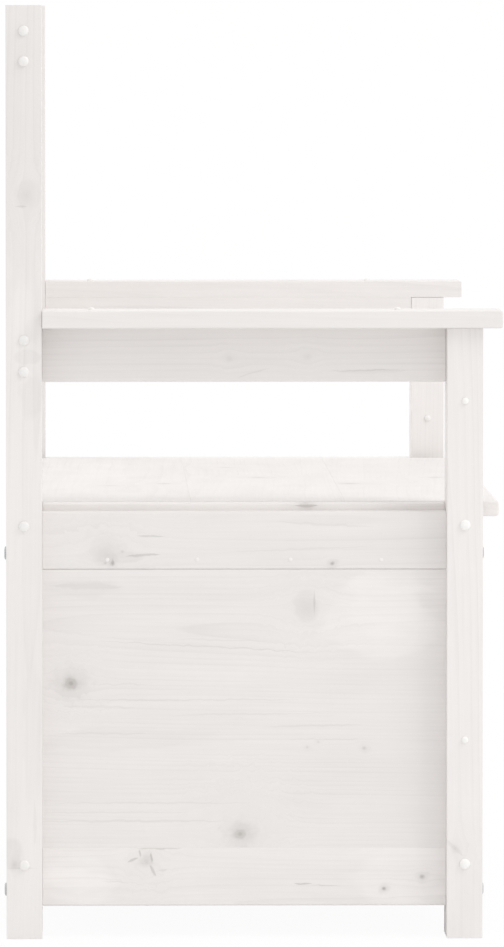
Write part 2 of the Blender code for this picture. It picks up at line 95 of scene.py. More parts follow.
def vector_calc(tree, operation, first, second=None, scale=None):
    node = tree.nodes.new("ShaderNodeVectorMath")
    node.operation = operation
    feed(tree, first, node.inputs[0])
    if second is not None:
        feed(tree, second, node.inputs[1])
    if scale is not None:
        feed(tree, scale, node.inputs["Scale"])
    return node.outputs["Value"] if operation == "LENGTH" else node.outputs["Vector"]


def remap(tree, value, low, high, out_low, out_high, ease="SMOOTHSTEP"):
    node = tree.nodes.new("ShaderNodeMapRange")
    node.interpolation_type = ease
    feed(tree, value, node.inputs["Value"])
    node.inputs["From Min"].default_value = low
    node.inputs["From Max"].default_value = high
    node.inputs["To Min"].default_value = out_low
    node.inputs["To Max"].default_value = out_high
    return node.outputs["Result"]


def noise(tree, vector, scale, detail=2.0, roughness=0.5, output="Fac"):
    node = tree.nodes.new("ShaderNodeTexNoise")
    feed(tree, vector, node.inputs["Vector"])
    node.inputs["Scale"].default_value = scale
    node.inputs["Detail"].default_value = detail
    node.inputs["Roughness"].default_value = roughness
    return node.outputs[output]


def stretched(tree, vector, stretch):
    """The same place in coordinates that are squeezed or drawn out along each axis."""
    return vector_calc(tree, "MULTIPLY", vector, stretch)


def mix_colour(tree, share, first, second):
    node = tree.nodes.new("ShaderNodeMix")
    node.data_type = "RGBA"
    feed(tree, share, node.inputs["Factor"])
    for value, target in ((first, node.inputs[6]), (second, node.inputs[7])):
        feed(tree, value if isinstance(value, bpy.types.NodeSocket) else (*value, 1.0), target)
    return node.outputs[2]


def add_bump(tree, height, strength, distance):
    bump = tree.nodes.new("ShaderNodeBump")
    bump.inputs["Strength"].default_value = strength
    bump.inputs["Distance"].default_value = distance
    tree.links.new(height, bump.inputs["Height"])
    tree.links.new(bump.outputs["Normal"], tree.nodes["Principled BSDF"].inputs["Normal"])


def new_material(name):
    material = bpy.data.materials.new(name)
    material.use_nodes = True
    return material, material.node_tree, material.node_tree.nodes["Principled BSDF"].inputs


SOCKET_KINDS = {1: "NodeSocketFloat", 3: "NodeSocketVector", 4: "NodeSocketColor"}


def new_group(name, inputs, outputs):
    """A shader node group with named sockets. inputs gives each name's default value."""
    tree = bpy.data.node_groups.new(name, "ShaderNodeTree")
    for label, value in inputs.items():
        size = len(value) if isinstance(value, tuple) else 1
        made = tree.interface.new_socket(name=label, in_out="INPUT", socket_type=SOCKET_KINDS[size])
        made.default_value = value
    for label, kind in outputs.items():
        tree.interface.new_socket(name=label, in_out="OUTPUT", socket_type=f"NodeSocket{kind}")
    entry = tree.nodes.new("NodeGroupInput")
    leave = tree.nodes.new("NodeGroupOutput")
    return tree, entry.outputs, leave.inputs


def place_group(tree, group, **values):
    """Place a node group in a tree. Keyword names are socket names with _ for a space."""
    node = tree.nodes.new("ShaderNodeGroup")
    node.node_tree = group
    for label, value in values.items():
        feed(tree, value, node.inputs[label.replace("_", " ")])
    return node.outputs


# Effects of the pine and its paint, built once

# In a board's own coordinates X runs along the grain, Y across it and Z through the board

# Growth rings: how they drift along each axis, how years differ, and the dark late wood
RING_DRIFT = (1.6, 7.0, 7.0)
YEARS_ALIKE = 0.37
YEAR_SPREAD = 1.4
LATE_WOOD_RISE = 3.5
LATE_WOOD_END = 0.9
FAINTEST_RING = 0.25


def make_growth_rings():
    """Dark late wood of growth rings round a pith line, fading in and ending sharply."""
    tree, given, made = new_group(
        "growth_rings",
        {"Vector": (0.0, 0.0, 0.0), "Pith": (0.0, 0.0, 0.0), "Ring Width": 0.006, "Wander": 0.02},
        {"Rings": "Float"},
    )
    drift = noise(tree, stretched(tree, given["Vector"], RING_DRIFT), 1.0, output="Color")
    drift = vector_calc(tree, "SUBTRACT", drift, (0.5, 0.5, 0.5))
    drift = vector_calc(tree, "SCALE", drift, scale=given["Wander"])
    reach = vector_calc(tree, "SUBTRACT", given["Vector"], given["Pith"])
    reach = stretched(tree, vector_calc(tree, "ADD", reach, drift), (0.0, 1.0, 1.0))
    count = calc(tree, "DIVIDE", vector_calc(tree, "LENGTH", reach), given["Ring Width"])
    season = tree.nodes.new("ShaderNodeCombineXYZ")
    feed(tree, calc(tree, "MULTIPLY", count, YEARS_ALIKE), season.inputs["X"])
    year = noise(tree, season.outputs["Vector"], 1.0, detail=1.0)
    count = calc(tree, "MULTIPLY_ADD", year, YEAR_SPREAD, count)
    age = calc(tree, "FRACT", count)
    late_wood = calc(tree, "POWER", age, LATE_WOOD_RISE)
    late_wood = calc(tree, "MULTIPLY", late_wood, remap(tree, age, LATE_WOOD_END, 1.0, 1.0, 0.0))
    vigour = tree.nodes.new("ShaderNodeTexWhiteNoise")
    vigour.noise_dimensions = "1D"
    feed(tree, calc(tree, "FLOOR", count), vigour.inputs["W"])
    strength = remap(tree, vigour.outputs["Value"], 0.0, 1.0, FAINTEST_RING, 1.0)
    feed(tree, calc(tree, "MULTIPLY", late_wood, strength), made["Rings"])
    return tree


# How fast a knot fades along the grain, across it and through the board: it goes right through
KNOT_REACH = (0.85, 1.0, 0.0)

# A knot's ragged edge, its own rings, its halo, and how it pulls the growth rings round it
KNOT_RAGGEDNESS = 130.0
KNOT_RING_PACE = 15.0
KNOT_EDGE = 1.05
HALO_START = 0.6
HALO_END = 2.7
RING_PULL = -0.16


def make_knot():
    """A knot's heart and halo. It bends the coordinates so that the rings flow round it."""
    tree, given, made = new_group(
        "knot",
        {
            "Vector": (0.0, 0.0, 0.0),
            "Place": (0.0, 0.0, 0.0),
            "Centre": (0.0, 0.0, 0.0),
            "Reach": KNOT_REACH,
            "Radius": 0.008,
            "Strength": 1.0,
            "Heart": 0.0,
            "Halo": 0.0,
        },
        {"Vector": "Vector", "Heart": "Float", "Halo": "Float"},
    )
    offset = vector_calc(tree, "SUBTRACT", given["Place"], given["Centre"])
    ragged = noise(tree, given["Place"], KNOT_RAGGEDNESS, detail=3.0)
    distance = vector_calc(tree, "LENGTH", stretched(tree, offset, given["Reach"]))
    distance = calc(tree, "DIVIDE", distance, given["Radius"])
    distance = calc(tree, "MULTIPLY", distance, remap(tree, ragged, 0.25, 0.75, 0.72, 1.28, "LINEAR"))
    turns = calc(tree, "SINE", calc(tree, "MULTIPLY", distance, KNOT_RING_PACE))
    ringed = remap(tree, turns, -1.0, 1.0, 0.8, 1.0, "LINEAR")
    heart = calc(tree, "MULTIPLY", remap(tree, distance, 0.0, KNOT_EDGE, 1.0, 0.0), ringed)
    heart = calc(tree, "MULTIPLY", heart, given["Strength"])
    halo = remap(tree, distance, HALO_START, HALO_END, 1.0, 0.0)
    halo = calc(tree, "MULTIPLY", halo, given["Strength"])
    feed(tree, calc(tree, "MAXIMUM", heart, given["Heart"]), made["Heart"])
    feed(tree, calc(tree, "MAXIMUM", halo, given["Halo"]), made["Halo"])
    pull = calc(tree, "MULTIPLY", calc(tree, "POWER", distance, 2.0), RING_PULL)
    pull = calc(tree, "EXPONENT", pull)
    shift = vector_calc(tree, "SCALE", stretched(tree, offset, (0.0, 1.0, 0.0)), scale=pull)
    feed(tree, vector_calc(tree, "SUBTRACT", given["Vector"], shift), made["Vector"])
    return tree


# How far a crack wanders aside, and how often
CRACK_WOBBLE = 4 * MM
CRACK_WOBBLE_SCALE = 90.0


def make_crack():
    """A thin dark check or streak along the grain, with tapered ends."""
    tree, given, made = new_group(
        "crack",
        {
            "Place": (0.0, 0.0, 0.0),
            "Centre": (0.0, 0.0, 0.0),
            "Half Length": 0.02,
            "Half Width": 0.0006,
            "Slope": 0.0,
            "Strength": 1.0,
            "Cracks": 0.0,
        },
        {"Cracks": "Float"},
    )
    split = tree.nodes.new("ShaderNodeSeparateXYZ")
    feed(tree, vector_calc(tree, "SUBTRACT", given["Place"], given["Centre"]), split.inputs[0])
    wobble = calc(tree, "SUBTRACT", noise(tree, given["Place"], CRACK_WOBBLE_SCALE), 0.5)
    rise = calc(tree, "MULTIPLY", split.outputs["X"], given["Slope"])
    line = calc(tree, "SUBTRACT", split.outputs["Y"], rise)
    line = calc(tree, "ABSOLUTE", calc(tree, "MULTIPLY_ADD", wobble, CRACK_WOBBLE, line))
    along = calc(tree, "ABSOLUTE", calc(tree, "DIVIDE", split.outputs["X"], given["Half Length"]))
    width = calc(tree, "MULTIPLY", remap(tree, along, 0.2, 1.0, 1.0, 0.1), given["Half Width"])
    mask = remap(tree, calc(tree, "DIVIDE", line, width), 0.3, 1.4, 1.0, 0.0)
    mask = calc(tree, "MULTIPLY", mask, remap(tree, along, 0.7, 1.0, 1.0, 0.0))
    mask = calc(tree, "MULTIPLY", mask, given["Strength"])
    feed(tree, calc(tree, "MAXIMUM", mask, given["Cracks"]), made["Cracks"])
    return tree


# Grain of a cloud's ragged edge, along, across and through a board
CLOUD_EDGE_GRAIN = (20.0, 60.0, 60.0)


def make_cloud():
    """A soft patch painted darker (positive) or lighter (negative): where the coat of paint is thinner or
    thicker, and in places painted light that lifts shade.
    """
    tree, given, made = new_group(
        "cloud",
        {
            "Place": (0.0, 0.0, 0.0),
            "Centre": (0.0, 0.0, 0.0),
            "Reach": (20.0, 20.0, 0.0),
            "Darkening": 0.03,
            "Clouds": 0.0,
        },
        {"Clouds": "Float"},
    )
    offset = vector_calc(tree, "SUBTRACT", given["Place"], given["Centre"])
    distance = vector_calc(tree, "LENGTH", stretched(tree, offset, given["Reach"]))
    ragged = noise(tree, stretched(tree, given["Place"], CLOUD_EDGE_GRAIN), 1.0)
    ragged = remap(tree, ragged, 0.3, 0.7, 0.8, 1.2)
    mask = remap(tree, calc(tree, "MULTIPLY", distance, ragged), 0.7, 1.1, 1.0, 0.0)
    feed(tree, calc(tree, "MULTIPLY_ADD", mask, given["Darkening"], given["Clouds"]), made["Clouds"])
    return tree


# Grain of the paint's effects, as counts for each metre along, across and through a board
FIBRE_GRAIN = (9.0, 420.0, 420.0)
STREAK_GRAIN = (4.0, 38.0, 38.0)
COVERAGE_GRAIN = (4.5, 9.0, 9.0)
COAT_GRAIN = 14.0

# Shares by which the paint's effects change its shade, and by which the bare wood's stain shows
STREAK_SHADE = 0.022
COAT_SHADE = 0.014
# Below zero: end-grain faces are painted lighter, painted light that lifts the shade on the lid's ends
# beside the legs
END_PAINTED_LIGHT = -0.03
STAINS = (("Halo", 0.17), ("Heart", 0.8), ("Cracks", 0.7))

# Roughness of the paint, and how much the coat, the rings and the end grain change it
PAINT_ROUGHNESS = 0.5
COAT_ROUGHNESS = 0.08
RING_ROUGHNESS = -0.06
END_ROUGHNESS = 0.15

# How much the rings, fibres and coat stand up, and knots and cracks sink, as shares of the relief
RING_RISE = 0.8
FIBRE_RISE = 0.35
COAT_RISE = 0.25
KNOT_RISE = -0.7
CRACK_RISE = -2.0


def make_thin_paint():
    """Thin white paint over pine: rings, fibres and knots show through, and the coat is uneven."""
    tree, given, made = new_group(
        "thin_paint",
        {
            "Place": (0.0, 0.0, 0.0),
            "Paint": (0.8, 0.8, 0.8, 1.0),
            "Stain": (0.3, 0.3, 0.3, 1.0),
            "Rings": 0.0,
            "Heart": 0.0,
            "Halo": 0.0,
            "Cracks": 0.0,
            "Clouds": 0.0,
            "Ends": 0.0,
            "Ring Show": 0.07,
            "Fibre Show": 0.03,
        },
        {"Color": "Color", "Roughness": "Float", "Height": "Float"},
    )
    place = given["Place"]
    fibres = noise(tree, stretched(tree, place, FIBRE_GRAIN), 1.0, detail=3.0, roughness=0.6)
    fibres = remap(tree, fibres, 0.3, 0.7, -0.5, 0.5, "LINEAR")
    streaks = noise(tree, stretched(tree, place, STREAK_GRAIN), 1.0)
    streaks = remap(tree, streaks, 0.35, 0.7, -0.5, 0.5)
    coat = remap(tree, noise(tree, place, COAT_GRAIN, detail=3.0), 0.3, 0.75, -0.5, 0.5)
    coverage = noise(tree, stretched(tree, place, COVERAGE_GRAIN), 1.0)
    coverage = remap(tree, coverage, 0.35, 0.65, 0.45, 1.0)
    shade = calc(tree, "MULTIPLY", calc(tree, "MULTIPLY", given["Rings"], given["Ring Show"]), coverage)
    shade = calc(tree, "MULTIPLY_ADD", fibres, given["Fibre Show"], shade)
    # The ends' negative share paints light onto the end-grain faces
    for mask, share in ((streaks, STREAK_SHADE), (coat, COAT_SHADE), (given["Ends"], END_PAINTED_LIGHT)):
        shade = calc(tree, "MULTIPLY_ADD", mask, share, shade)
    shade = calc(tree, "ADD", shade, given["Clouds"])
    colour = vector_calc(tree, "SCALE", given["Paint"], scale=calc(tree, "SUBTRACT", 1.0, shade))
    for mask, share in STAINS:
        colour = mix_colour(tree, calc(tree, "MULTIPLY", given[mask], share), colour, given["Stain"])
    feed(tree, colour, made["Color"])
    sheen = PAINT_ROUGHNESS
    dulling = ((coat, COAT_ROUGHNESS), (given["Rings"], RING_ROUGHNESS), (given["Ends"], END_ROUGHNESS))
    for mask, share in dulling:
        sheen = calc(tree, "MULTIPLY_ADD", mask, share, sheen)
    feed(tree, sheen, made["Roughness"])
    height = calc(tree, "MULTIPLY", given["Rings"], RING_RISE)
    height = calc(tree, "MULTIPLY_ADD", fibres, FIBRE_RISE, height)
    for mask, share in ((coat, COAT_RISE), (given["Heart"], KNOT_RISE), (given["Cracks"], CRACK_RISE)):
        height = calc(tree, "MULTIPLY_ADD", mask, share, height)
    feed(tree, height, made["Height"])
    return tree


growth_rings = make_growth_rings()
knot_group = make_knot()
crack_group = make_crack()
cloud_group = make_cloud()
thin_paint = make_thin_paint()


# Marks of the wood that the photograph shows, by their places on the bench


def side_spot(depth, height):
    """A place on the end of the bench, by its depth and height in millimetres."""
    return Vector((-outer_x, at_depth(depth), height * MM))


def seat_spot(depth, along):
    """A place on the seat, by its depth and its distance along the bench in millimetres."""
    return Vector((along * MM, at_depth(depth), seat_top))


def knot(spot, radius, strength):
    return {"spot": spot, "Radius": radius * MM, "Strength": strength}


EDGE_KNOT_REACH = 0.3


def edge_knot(depth, height, radius, strength):
    """A knot on the end of the bench in a post or leg, that doesn't reach far into the timber."""
    along, across, _ = KNOT_REACH
    reach = (along, across, EDGE_KNOT_REACH)
    return {**knot(side_spot(depth, height), radius, strength), "Reach": reach}


def crack(depth, height, length, width, strength, slope=0.0):
    """A crack on the end of the bench, its middle given by its depth and height."""
    return {
        "spot": side_spot(depth, height),
        "Half_Length": length / 2 * MM,
        "Half_Width": width / 2 * MM,
        "Slope": slope,
        "Strength": strength,
    }


def cloud(depth, height, length, width, darkening, through=None):
    """A patch painted darker or lighter on the end of the bench: thinner or thicker paint, and in places
    painted light against shade.

    It goes right through the board, or fades out within the millimetres that through gives.
    """
    reach = (2 / (length * MM), 2 / (width * MM), 2 / (through * MM) if through else 0.0)
    return {"spot": side_spot(depth, height), "Reach": reach, "Darkening": darkening}


# A board with an empty list here has no knots, and a board that isn't here gets random ones
KNOTS = {
    "left_post": [
        edge_knot(21.5, 769, radius=9.5, strength=0.13),
        edge_knot(8, 77, radius=5, strength=0.3),
    ],
    "left_side_panel": [
        knot(side_spot(66.9, 262.9), radius=9.5, strength=0.95),
        knot(side_spot(242, 106.5), radius=9, strength=0.74),
        knot(side_spot(245, 108), radius=14, strength=0.24),
        knot(side_spot(310.5, 341), radius=11, strength=0.09),
        knot(side_spot(370.5, 195.5), radius=2.8, strength=0.4),
        knot(side_spot(311.5, 196.5), radius=2.0, strength=0.3),
        knot(side_spot(323, 202), radius=1.8, strength=0.25),
    ],
    "left_side_top_rail": [
        knot(side_spot(103, 396), radius=13, strength=0.2),
        knot(side_spot(102.4, 388), radius=2.4, strength=0.45),
        knot(side_spot(109.6, 387.6), radius=3.6, strength=0.62),
        knot(side_spot(337.4, 387.3), radius=2.6, strength=0.9),
        knot(side_spot(120, 400), radius=2.4, strength=0.3),
    ],
    "left_side_bottom_rail": [
        knot(side_spot(144.6, 78.4), radius=9, strength=0.34),
        knot(side_spot(145, 77), radius=5, strength=0.38),
        knot(side_spot(391, 49.4), radius=2.7, strength=1.0),
        knot(side_spot(430.6, 61.8), radius=3.2, strength=0.75),
    ],
    "left_seat_strip": [knot(side_spot(311, 448), radius=11, strength=0.35)],
    "lid_board_1": [
        knot(seat_spot(167, -109.5), radius=11, strength=0.4),
        knot(seat_spot(108.5, -152), radius=8, strength=0.25),
    ],
    "lid_board_2": [
        knot(seat_spot(271.7, 21), radius=12, strength=0.35),
        knot(seat_spot(239.6, 246), radius=9, strength=0.35),
    ],
    "lid_board_3": [
        knot(seat_spot(367, -109.5), radius=15, strength=0.45),
        knot(seat_spot(465, 21), radius=10, strength=0.35),
    ],
    "left_leg": [edge_knot(464, 93, radius=6, strength=0.22)],
    "left_arm_apron": [
        knot(side_spot(231, 599), radius=4, strength=0.14),
        knot(side_spot(312, 601), radius=5, strength=0.12),
    ],
    "left_armrest": [],
    "right_arm_apron": [],
    "right_leg": [],
}

CRACKS = {
    "left_side_panel": [
        crack(84, 364, length=84, width=8, strength=0.16, slope=0.02),
        crack(210, 301, length=260, width=1.6, strength=0.22, slope=0.055),
        crack(225, 308, length=110, width=2.0, strength=0.12, slope=0.02),
        crack(120, 262, length=70, width=1.6, strength=0.12),
        crack(185, 246, length=280, width=1.8, strength=0.16),
        crack(95, 239, length=90, width=3.0, strength=0.14, slope=0.02),
        crack(250, 231, length=190, width=2.0, strength=0.14, slope=-0.01),
        crack(320, 219, length=120, width=2.4, strength=0.16, slope=-0.02),
        crack(335, 205, length=110, width=1.4, strength=0.14),
        crack(100, 211, length=110, width=2.6, strength=0.14),
        crack(150, 139, length=240, width=2.0, strength=0.14),
        crack(110, 129, length=190, width=1.6, strength=0.14),
        crack(130, 120, length=240, width=2.6, strength=0.16),
        crack(318.9, 347, length=2.6, width=24, strength=0.34),
    ],
    "left_side_top_rail": [
        crack(141.5, 396, length=40, width=3.2, strength=0.48, slope=-0.07),
        crack(110, 389, length=3.4, width=8, strength=0.55),
        crack(149, 416, length=34, width=2.2, strength=0.42),
        crack(330, 428, length=120, width=2.6, strength=0.12, slope=0.05),
        crack(300, 402, length=180, width=2.0, strength=0.10, slope=-0.04),
    ],
    "left_side_bottom_rail": [
        crack(307, 54.6, length=22, width=1.8, strength=0.6, slope=0.03),
        crack(330, 52.8, length=40, width=1.0, strength=0.35, slope=0.02),
        crack(158, 91.8, length=52, width=2.8, strength=0.42),
        crack(130.8, 79.8, length=13, width=3.2, strength=0.52, slope=-0.4),
        crack(138, 87, length=3.2, width=7, strength=0.5, slope=1.5),
        crack(150, 82, length=3.4, width=9, strength=0.6, slope=2.0),
        crack(151.5, 68.5, length=8, width=7, strength=0.5, slope=1.6),
        crack(162, 69.5, length=10, width=3, strength=0.22),
        crack(112, 57, length=30, width=1.2, strength=0.2),
    ],
    "left_arm_apron": [
        crack(379, 586, length=84, width=5, strength=0.12, slope=-0.02),
        crack(370, 587, length=80, width=2.0, strength=0.34, slope=-0.02),
        crack(256, 585, length=40, width=1.8, strength=0.16, slope=-0.28),
    ],
    "left_post": [
        crack(15.8, 757.5, length=2.4, width=12, strength=0.3),
        crack(29.2, 121, length=56, width=3.4, strength=0.12),
        crack(15.5, 73.5, length=2.0, width=30, strength=0.22),
    ],
    "left_leg": [crack(463, 94, length=20, width=7, strength=0.16, slope=1.0)],
    "left_seat_strip": [crack(311, 446, length=28, width=3, strength=0.5)],
}

CLOUDS = {
    "left_side_panel": [
        # Lighter patches on the panel's upper part, towards the leg
        cloud(384, 332, length=122, width=86, darkening=-0.04),
        cloud(396, 350, length=86, width=76, darkening=-0.025),
        cloud(72, 363, length=90, width=22, darkening=0.03),
        cloud(310, 341, length=26, width=36, darkening=0.05),
        cloud(246, 86, length=12, width=24, darkening=0.035),
        cloud(120, 205, length=190, width=26, darkening=0.03),
    ],
    "left_side_bottom_rail": [
        cloud(72, 66, length=70, width=40, darkening=-0.03),
        cloud(70, 52, length=90, width=40, darkening=-0.035),
        # Painted light: a lighter patch that lifts the shade the leg casts across the bottom rail near it
        cloud(408, 62, length=100, width=84, darkening=-0.045),
    ],
    "left_post": [
        cloud(18, 860, length=420, width=90, darkening=0.04),
        cloud(22, 771, length=30, width=30, darkening=0.03, through=60),
        cloud(24, 602, length=16, width=32, darkening=0.05, through=60),
        cloud(27, 560, length=50, width=28, darkening=0.04, through=60),
        cloud(28, 211, length=160, width=22, darkening=0.025, through=90),
        cloud(5, 87, length=36, width=24, darkening=0.07, through=50),
    ],
    "left_side_top_rail": [
        cloud(103, 402, length=34, width=34, darkening=0.03),
        cloud(124, 394, length=44, width=14, darkening=0.045),
    ],
}


# Square metres for each random knot, and the shares of a board that the knots spread over
AREA_FOR_KNOT = 0.04
KNOT_ALONG = 0.46
KNOT_ACROSS = 0.36

# Ranges of the random knots' radii, in millimetres, and of their strengths
KNOT_RADII = (3.5, 9.5)
KNOT_STRENGTHS = (0.3, 0.9)

# What is added to a count of knots before it's cut to a whole number, and a board's least width
SPARE_KNOT = (0.2, 1.0)
LEAST_WIDTH_IN_RADII = 5


def random_knots(name, run, chance):
    """Knots of a board that the photograph doesn't show, one for each AREA_FOR_KNOT or so."""
    low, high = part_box(name)
    size = high - low
    middle = (low + high) / 2
    along, across = run[0].lower(), run[1].lower()
    length, width = getattr(size, along), getattr(size, across)
    marks = []
    for _ in range(int(length * width / AREA_FOR_KNOT + chance.uniform(*SPARE_KNOT))):
        spot = middle.copy()
        setattr(spot, along, getattr(middle, along) + chance.uniform(-KNOT_ALONG, KNOT_ALONG) * length)
        setattr(spot, across, getattr(middle, across) + chance.uniform(-KNOT_ACROSS, KNOT_ACROSS) * width)
        radius = min(chance.uniform(*KNOT_RADII), width / LEAST_WIDTH_IN_RADII / MM)
        marks.append(knot(spot, radius, chance.uniform(*KNOT_STRENGTHS)))
    return marks


# Materials


def board_coordinates(tree, name, run):
    """Place in a board's own coordinates, and how far a face looks along the grain."""
    low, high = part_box(name)
    place = tree.nodes.new("ShaderNodeTexCoord")
    from_middle = vector_calc(tree, "SUBTRACT", place.outputs["Object"], (low + high) / 2)
    split = tree.nodes.new("ShaderNodeSeparateXYZ")
    turned = tree.nodes.new("ShaderNodeCombineXYZ")
    tree.links.new(from_middle, split.inputs[0])
    for socket, axis in zip(turned.inputs, run):
        tree.links.new(split.outputs[axis], socket)
    facing = tree.nodes.new("ShaderNodeSeparateXYZ")
    tree.links.new(place.outputs["Normal"], facing.inputs[0])
    return turned.outputs["Vector"], calc(tree, "ABSOLUTE", facing.outputs[run[0]])


def in_board(name, run, spot):
    """A place on the bench, in a board's own coordinates."""
    low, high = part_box(name)
    offset = spot - (low + high) / 2
    return Vector([getattr(offset, axis.lower()) for axis in run])


def add_marks(tree, name, run, group, marks, steady, carried):
    """Chain one group per mark. carried names the values that each one hands to the next."""
    for mark in marks:
        values = {label: value for label, value in mark.items() if label != "spot"}
        centre = in_board(name, run, mark["spot"])
        out = place_group(tree, group, Centre=centre, **steady, **values, **carried)
        carried = {label: out[label] for label in carried}
    return carried


# How far along the grain a board starts at most, in metres, and how far its grain is turned
GRAIN_START = 9
GRAIN_TILT = 0.03
GRAIN_TURN = 0.022

# The pith's place, as a share of the width and in millimetres, and the rings, in millimetres
PITH_ASIDE = 0.6
PITH_BELOW = (12, 50)
RING_WIDTHS = (4.4, 6.8)
RING_WANDER = (12, 30)

# How bright boards are, and the bump, relief and gloss of their paint
BOARD_TONES = (0.99, 1.01)
PAINT_BUMP = 0.35
PAINT_RELIEF = 0.12 * MM
PAINT_GLOSS = 0.35

# How strongly the growth rings show through a full coat
RING_SHOW = 0.07


def board_material(name, run, seed, tone=1.0, ring_show=RING_SHOW):
    """Painted pine for one board. run names the world axes along, across and through the board."""
    chance = random.Random(seed)
    material, tree, shader = new_material(f"{name}_paint")
    place, end_facing = board_coordinates(tree, name, run)
    knots = KNOTS[name] if name in KNOTS else random_knots(name, run, chance)
    steady = {"Place": place}
    unbent = {"Vector": place, "Heart": 0.0, "Halo": 0.0}
    bent = add_marks(tree, name, run, knot_group, knots, steady, unbent)
    cracks = add_marks(tree, name, run, crack_group, CRACKS.get(name, []), steady, {"Cracks": 0.0})
    clouds = add_marks(tree, name, run, cloud_group, CLOUDS.get(name, []), steady, {"Clouds": 0.0})
    tilt = tree.nodes.new("ShaderNodeMapping")
    feed(tree, bent["Vector"], tilt.inputs["Vector"])
    tilt.inputs["Location"].default_value = (chance.uniform(0, GRAIN_START), 0, 0)
    tilt_turn = chance.uniform(-GRAIN_TILT, GRAIN_TILT)
    tilt.inputs["Rotation"].default_value = (0, tilt_turn, chance.uniform(-GRAIN_TURN, GRAIN_TURN))
    low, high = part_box(name)
    size = [getattr(high - low, axis.lower()) for axis in run]
    pith_depth = chance.choice((-1, 1)) * (size[2] / 2 + chance.uniform(*PITH_BELOW) * MM)
    rings = place_group(
        tree,
        growth_rings,
        Vector=tilt.outputs["Vector"],
        Pith=(0.0, chance.uniform(-PITH_ASIDE, PITH_ASIDE) * size[1], pith_depth),
        Ring_Width=chance.uniform(*RING_WIDTHS) * MM,
        Wander=chance.uniform(*RING_WANDER) * MM,
    )
    board_tone = tone * chance.uniform(*BOARD_TONES)
    paint = [value * board_tone for value in PAINT_WHITE]
    coat = place_group(
        tree,
        thin_paint,
        Place=tilt.outputs["Vector"],
        Paint=(*paint, 1.0),
        Stain=(*BARE_KNOT, 1.0),
        Rings=rings["Rings"],
        Heart=bent["Heart"],
        Halo=bent["Halo"],
        Cracks=cracks["Cracks"],
        Clouds=clouds["Clouds"],
        Ends=remap(tree, end_facing, 0.75, 0.95, 0.0, 1.0),
        Ring_Show=ring_show,
    )
    tree.links.new(coat["Color"], shader["Base Color"])
    tree.links.new(coat["Roughness"], shader["Roughness"])
    add_bump(tree, coat["Height"], PAINT_BUMP, PAINT_RELIEF)
    shader["Specular IOR Level"].default_value = PAINT_GLOSS
    return material


# Steel: the grain of its spangle, its shade, bump and relief, and how rough each kind is
SPANGLE_GRAIN = 900.0
SPANGLE_SHADE = 0.8
SPANGLE_BUMP = 0.15
SPANGLE_RELIEF = 0.03 * MM
SPANGLE_ROUGHNESS = (-0.06, 0.1)
ZINC_ROUGHNESS = 0.34
SCREW_ROUGHNESS = 0.3


def steel_material(name, colour, roughness):
    """Zinc plated steel with a fine spangle."""
    material, tree, shader = new_material(name)
    place = tree.nodes.new("ShaderNodeTexCoord").outputs["Object"]
    spangle = noise(tree, place, SPANGLE_GRAIN, detail=3.0)
    grain = remap(tree, spangle, 0.3, 0.7, 0.0, 1.0)
    dull = [value * SPANGLE_SHADE for value in colour]
    tree.links.new(mix_colour(tree, grain, colour, dull), shader["Base Color"])
    least, most = [roughness + change for change in SPANGLE_ROUGHNESS]
    feed(tree, remap(tree, spangle, 0.3, 0.7, least, most), shader["Roughness"])
    shader["Metallic"].default_value = 1.0
    add_bump(tree, spangle, SPANGLE_BUMP, SPANGLE_RELIEF)
    return material


# Plastic and thick paint: the grain, shade, bump, relief and roughness of the mottle
MOTTLE_GRAIN = 260.0
MOTTLE_SHADE = 0.97
MOTTLE_BUMP = 0.1
MOTTLE_RELIEF = 0.02 * MM
MOTTLE_ROUGHNESS = (0.3, 0.42)


def smooth_material(name, colour):
    """Smooth white plastic or thick paint, a little mottled."""
    material, tree, shader = new_material(name)
    place = tree.nodes.new("ShaderNodeTexCoord").outputs["Object"]
    mottle = noise(tree, place, MOTTLE_GRAIN)
    grain = remap(tree, mottle, 0.3, 0.7, 0.0, 1.0)
    dull = [value * MOTTLE_SHADE for value in colour]
    tree.links.new(mix_colour(tree, grain, colour, dull), shader["Base Color"])
    feed(tree, remap(tree, mottle, 0.3, 0.7, *MOTTLE_ROUGHNESS), shader["Roughness"])
    add_bump(tree, mottle, MOTTLE_BUMP, MOTTLE_RELIEF)
    return material


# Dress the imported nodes

# World axes along the grain, across the board and through it
RUNS = {
    # The near post and leg show their outer faces, so their marks lie across the bench's depth
    "left_post": "ZYX",
    "left_leg": "ZYX",
    "post": "ZXY",
    "leg": "ZXY",
    "armrest": "YXZ",
    "arm_apron": "YZX",
    "side_top_rail": "YZX",
    "side_bottom_rail": "YZX",
    "side_panel": "YZX",
    "front_top_rail": "XZY",
    "front_bottom_rail": "XZY",
    "front_panel": "XZY",
    "rear_top_rail": "XZY",
    "rear_bottom_rail": "XZY",
    "rear_panel": "XZY",
    "back_top_rail": "XZY",
    "back_lower_rail": "XZY",
    "back_slat": "ZXY",
    "rear_seat_strip": "XYZ",
    "left_seat_strip": "YZX",
    "right_seat_strip": "YZX",
    "lid_board": "XYZ",
    "lid_cleat": "YXZ",
    "floor_batten": "XYZ",
    "floor_board": "YXZ",
}

# Boards inside the box and under the lid have a thinner coat
HIDDEN = ("lid_cleat", "floor_batten", "floor_board")
HIDDEN_TONE = 0.975
HIDDEN_RING_SHOW = 0.11

# How much lighter or darker than the rest the photograph shows some boards
TONES = {
    "left_leg": 1.025,
    "left_post": 1.012,
    "left_side_panel": 0.984,
    "left_side_top_rail": 0.98,
    "left_side_bottom_rail": 1.025,
    "left_arm_apron": 1.02,
    "right_arm_apron": 0.98,
    # Painted light: the seat strips are lightened against the shade of the recess between the lid's ends
    # and the top rails
    "left_seat_strip": 1.07,
    "right_seat_strip": 1.07,
    "right_leg": 1.02,
}

